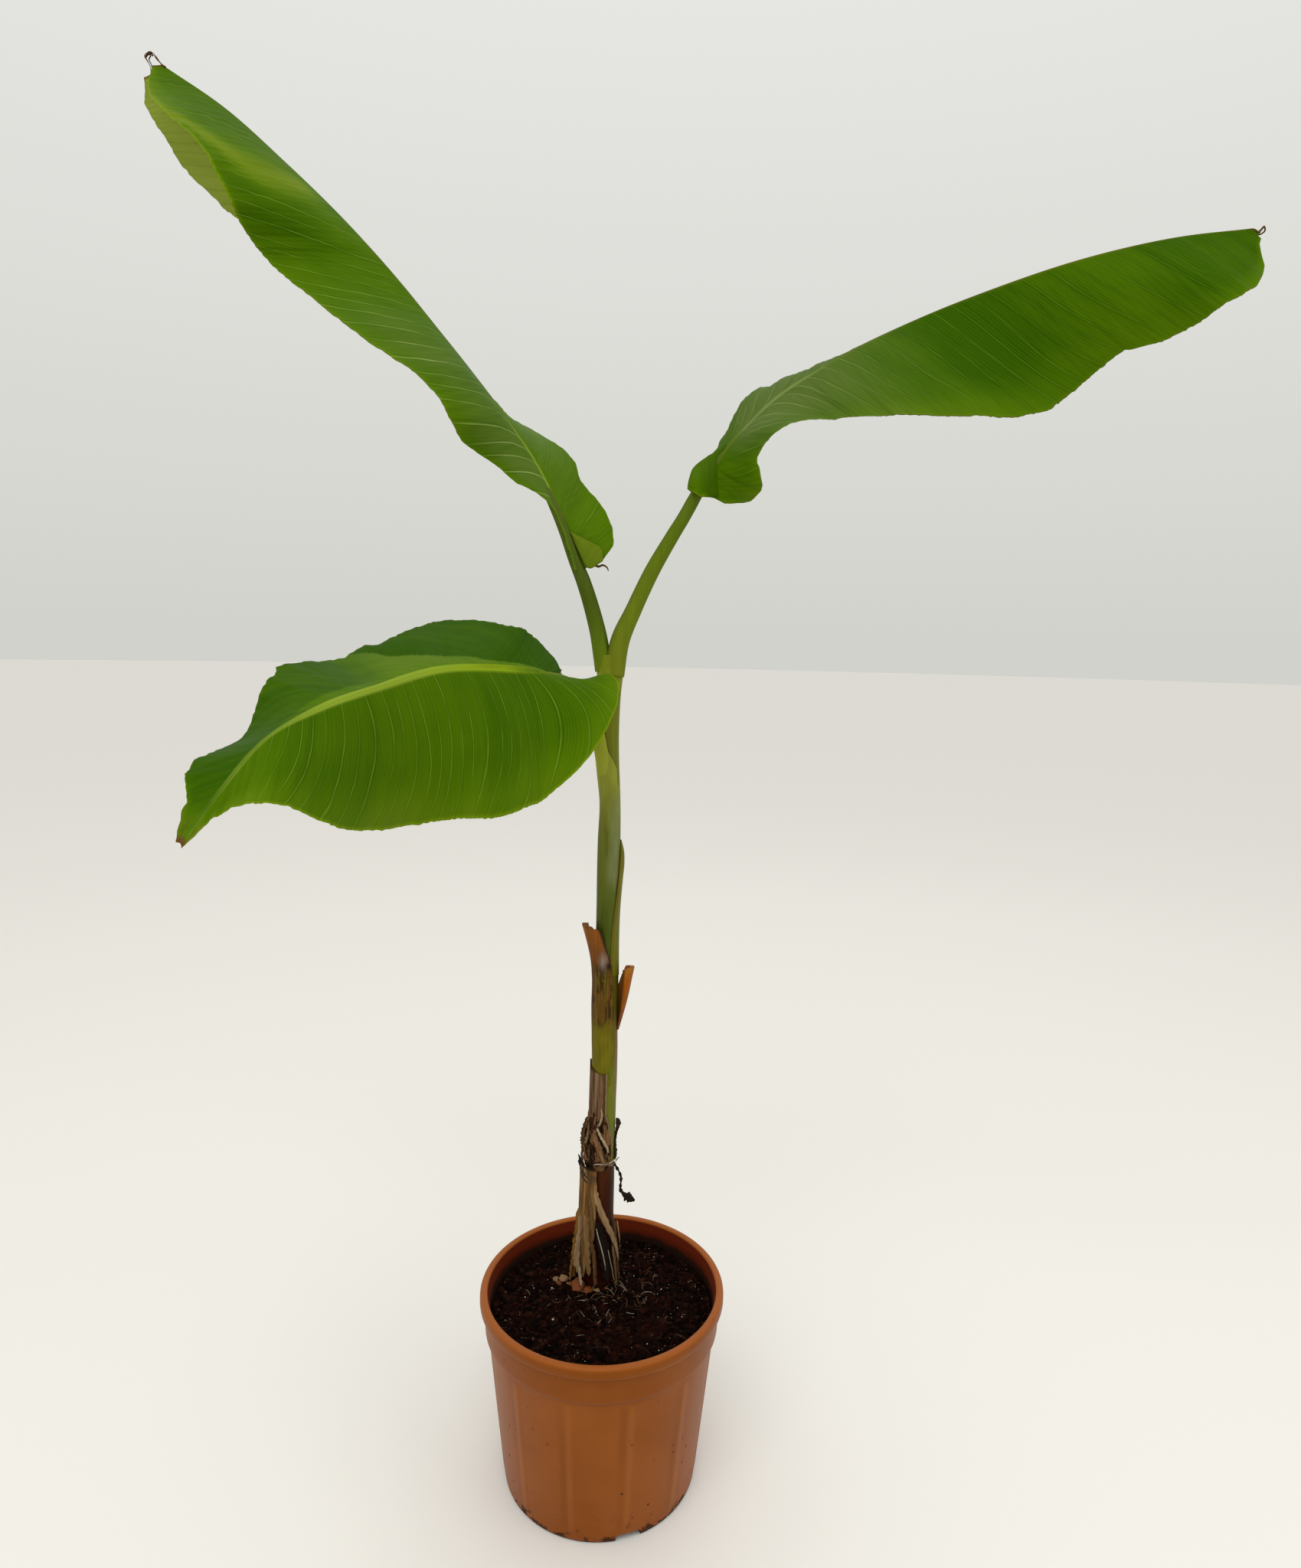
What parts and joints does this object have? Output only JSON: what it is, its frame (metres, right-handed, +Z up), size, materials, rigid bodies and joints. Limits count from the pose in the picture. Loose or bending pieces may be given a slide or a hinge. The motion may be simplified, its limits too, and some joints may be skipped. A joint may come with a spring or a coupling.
{
  "type": "potted banana plant",
  "caption": "Young banana plant in a round plastic pot: slim layered pseudostem, broad arching leaf blades on petioles, dry sheaths at the foot and peat soil.",
  "frame": {"origin": "centre of the pot's flat underside", "axes": "+Z up along the pot's axis, +X to the right and +Y to the back when the plant is seen from its front"},
  "size_m": [1.1503, 0.5919, 1.6329],
  "materials": {
    "pot_plastic": "satin moulded plastic with soil smudges",
    "peat": "matte crumbly peat with white grit and fibres",
    "stem_green": "satin overlapping leaf sheaths, olive to grey-green",
    "petiole_green": "satin, faintly ribbed",
    "leaf_green": "satin leaf with pale midrib and fine parallel veins",
    "cut_stub": "dry brown cut petiole base",
    "dry_sheath": "papery dry fibrous sheath"
  },
  "bodies": {
    "root": {"pot": "pot_plastic", "soil": "peat", "pseudostem": "stem_green", "petiole_left": "petiole_green", "petiole_right": "petiole_green", "petiole_front": "petiole_green", "leaf_left_front_half": "leaf_green", "leaf_left_back_half": "leaf_green", "leaf_right_front_half": "leaf_green", "leaf_right_back_half": "leaf_green", "leaf_front_lower_half": "leaf_green", "leaf_front_upper_half": "leaf_green", "stub_left": "cut_stub", "stub_right": "cut_stub", "sheath_flap": "stem_green", "dry_sheath_mid": "dry_sheath", "dry_sheath_low": "dry_sheath", "dry_shred": "dry_sheath"}
  },
  "joints": []
}
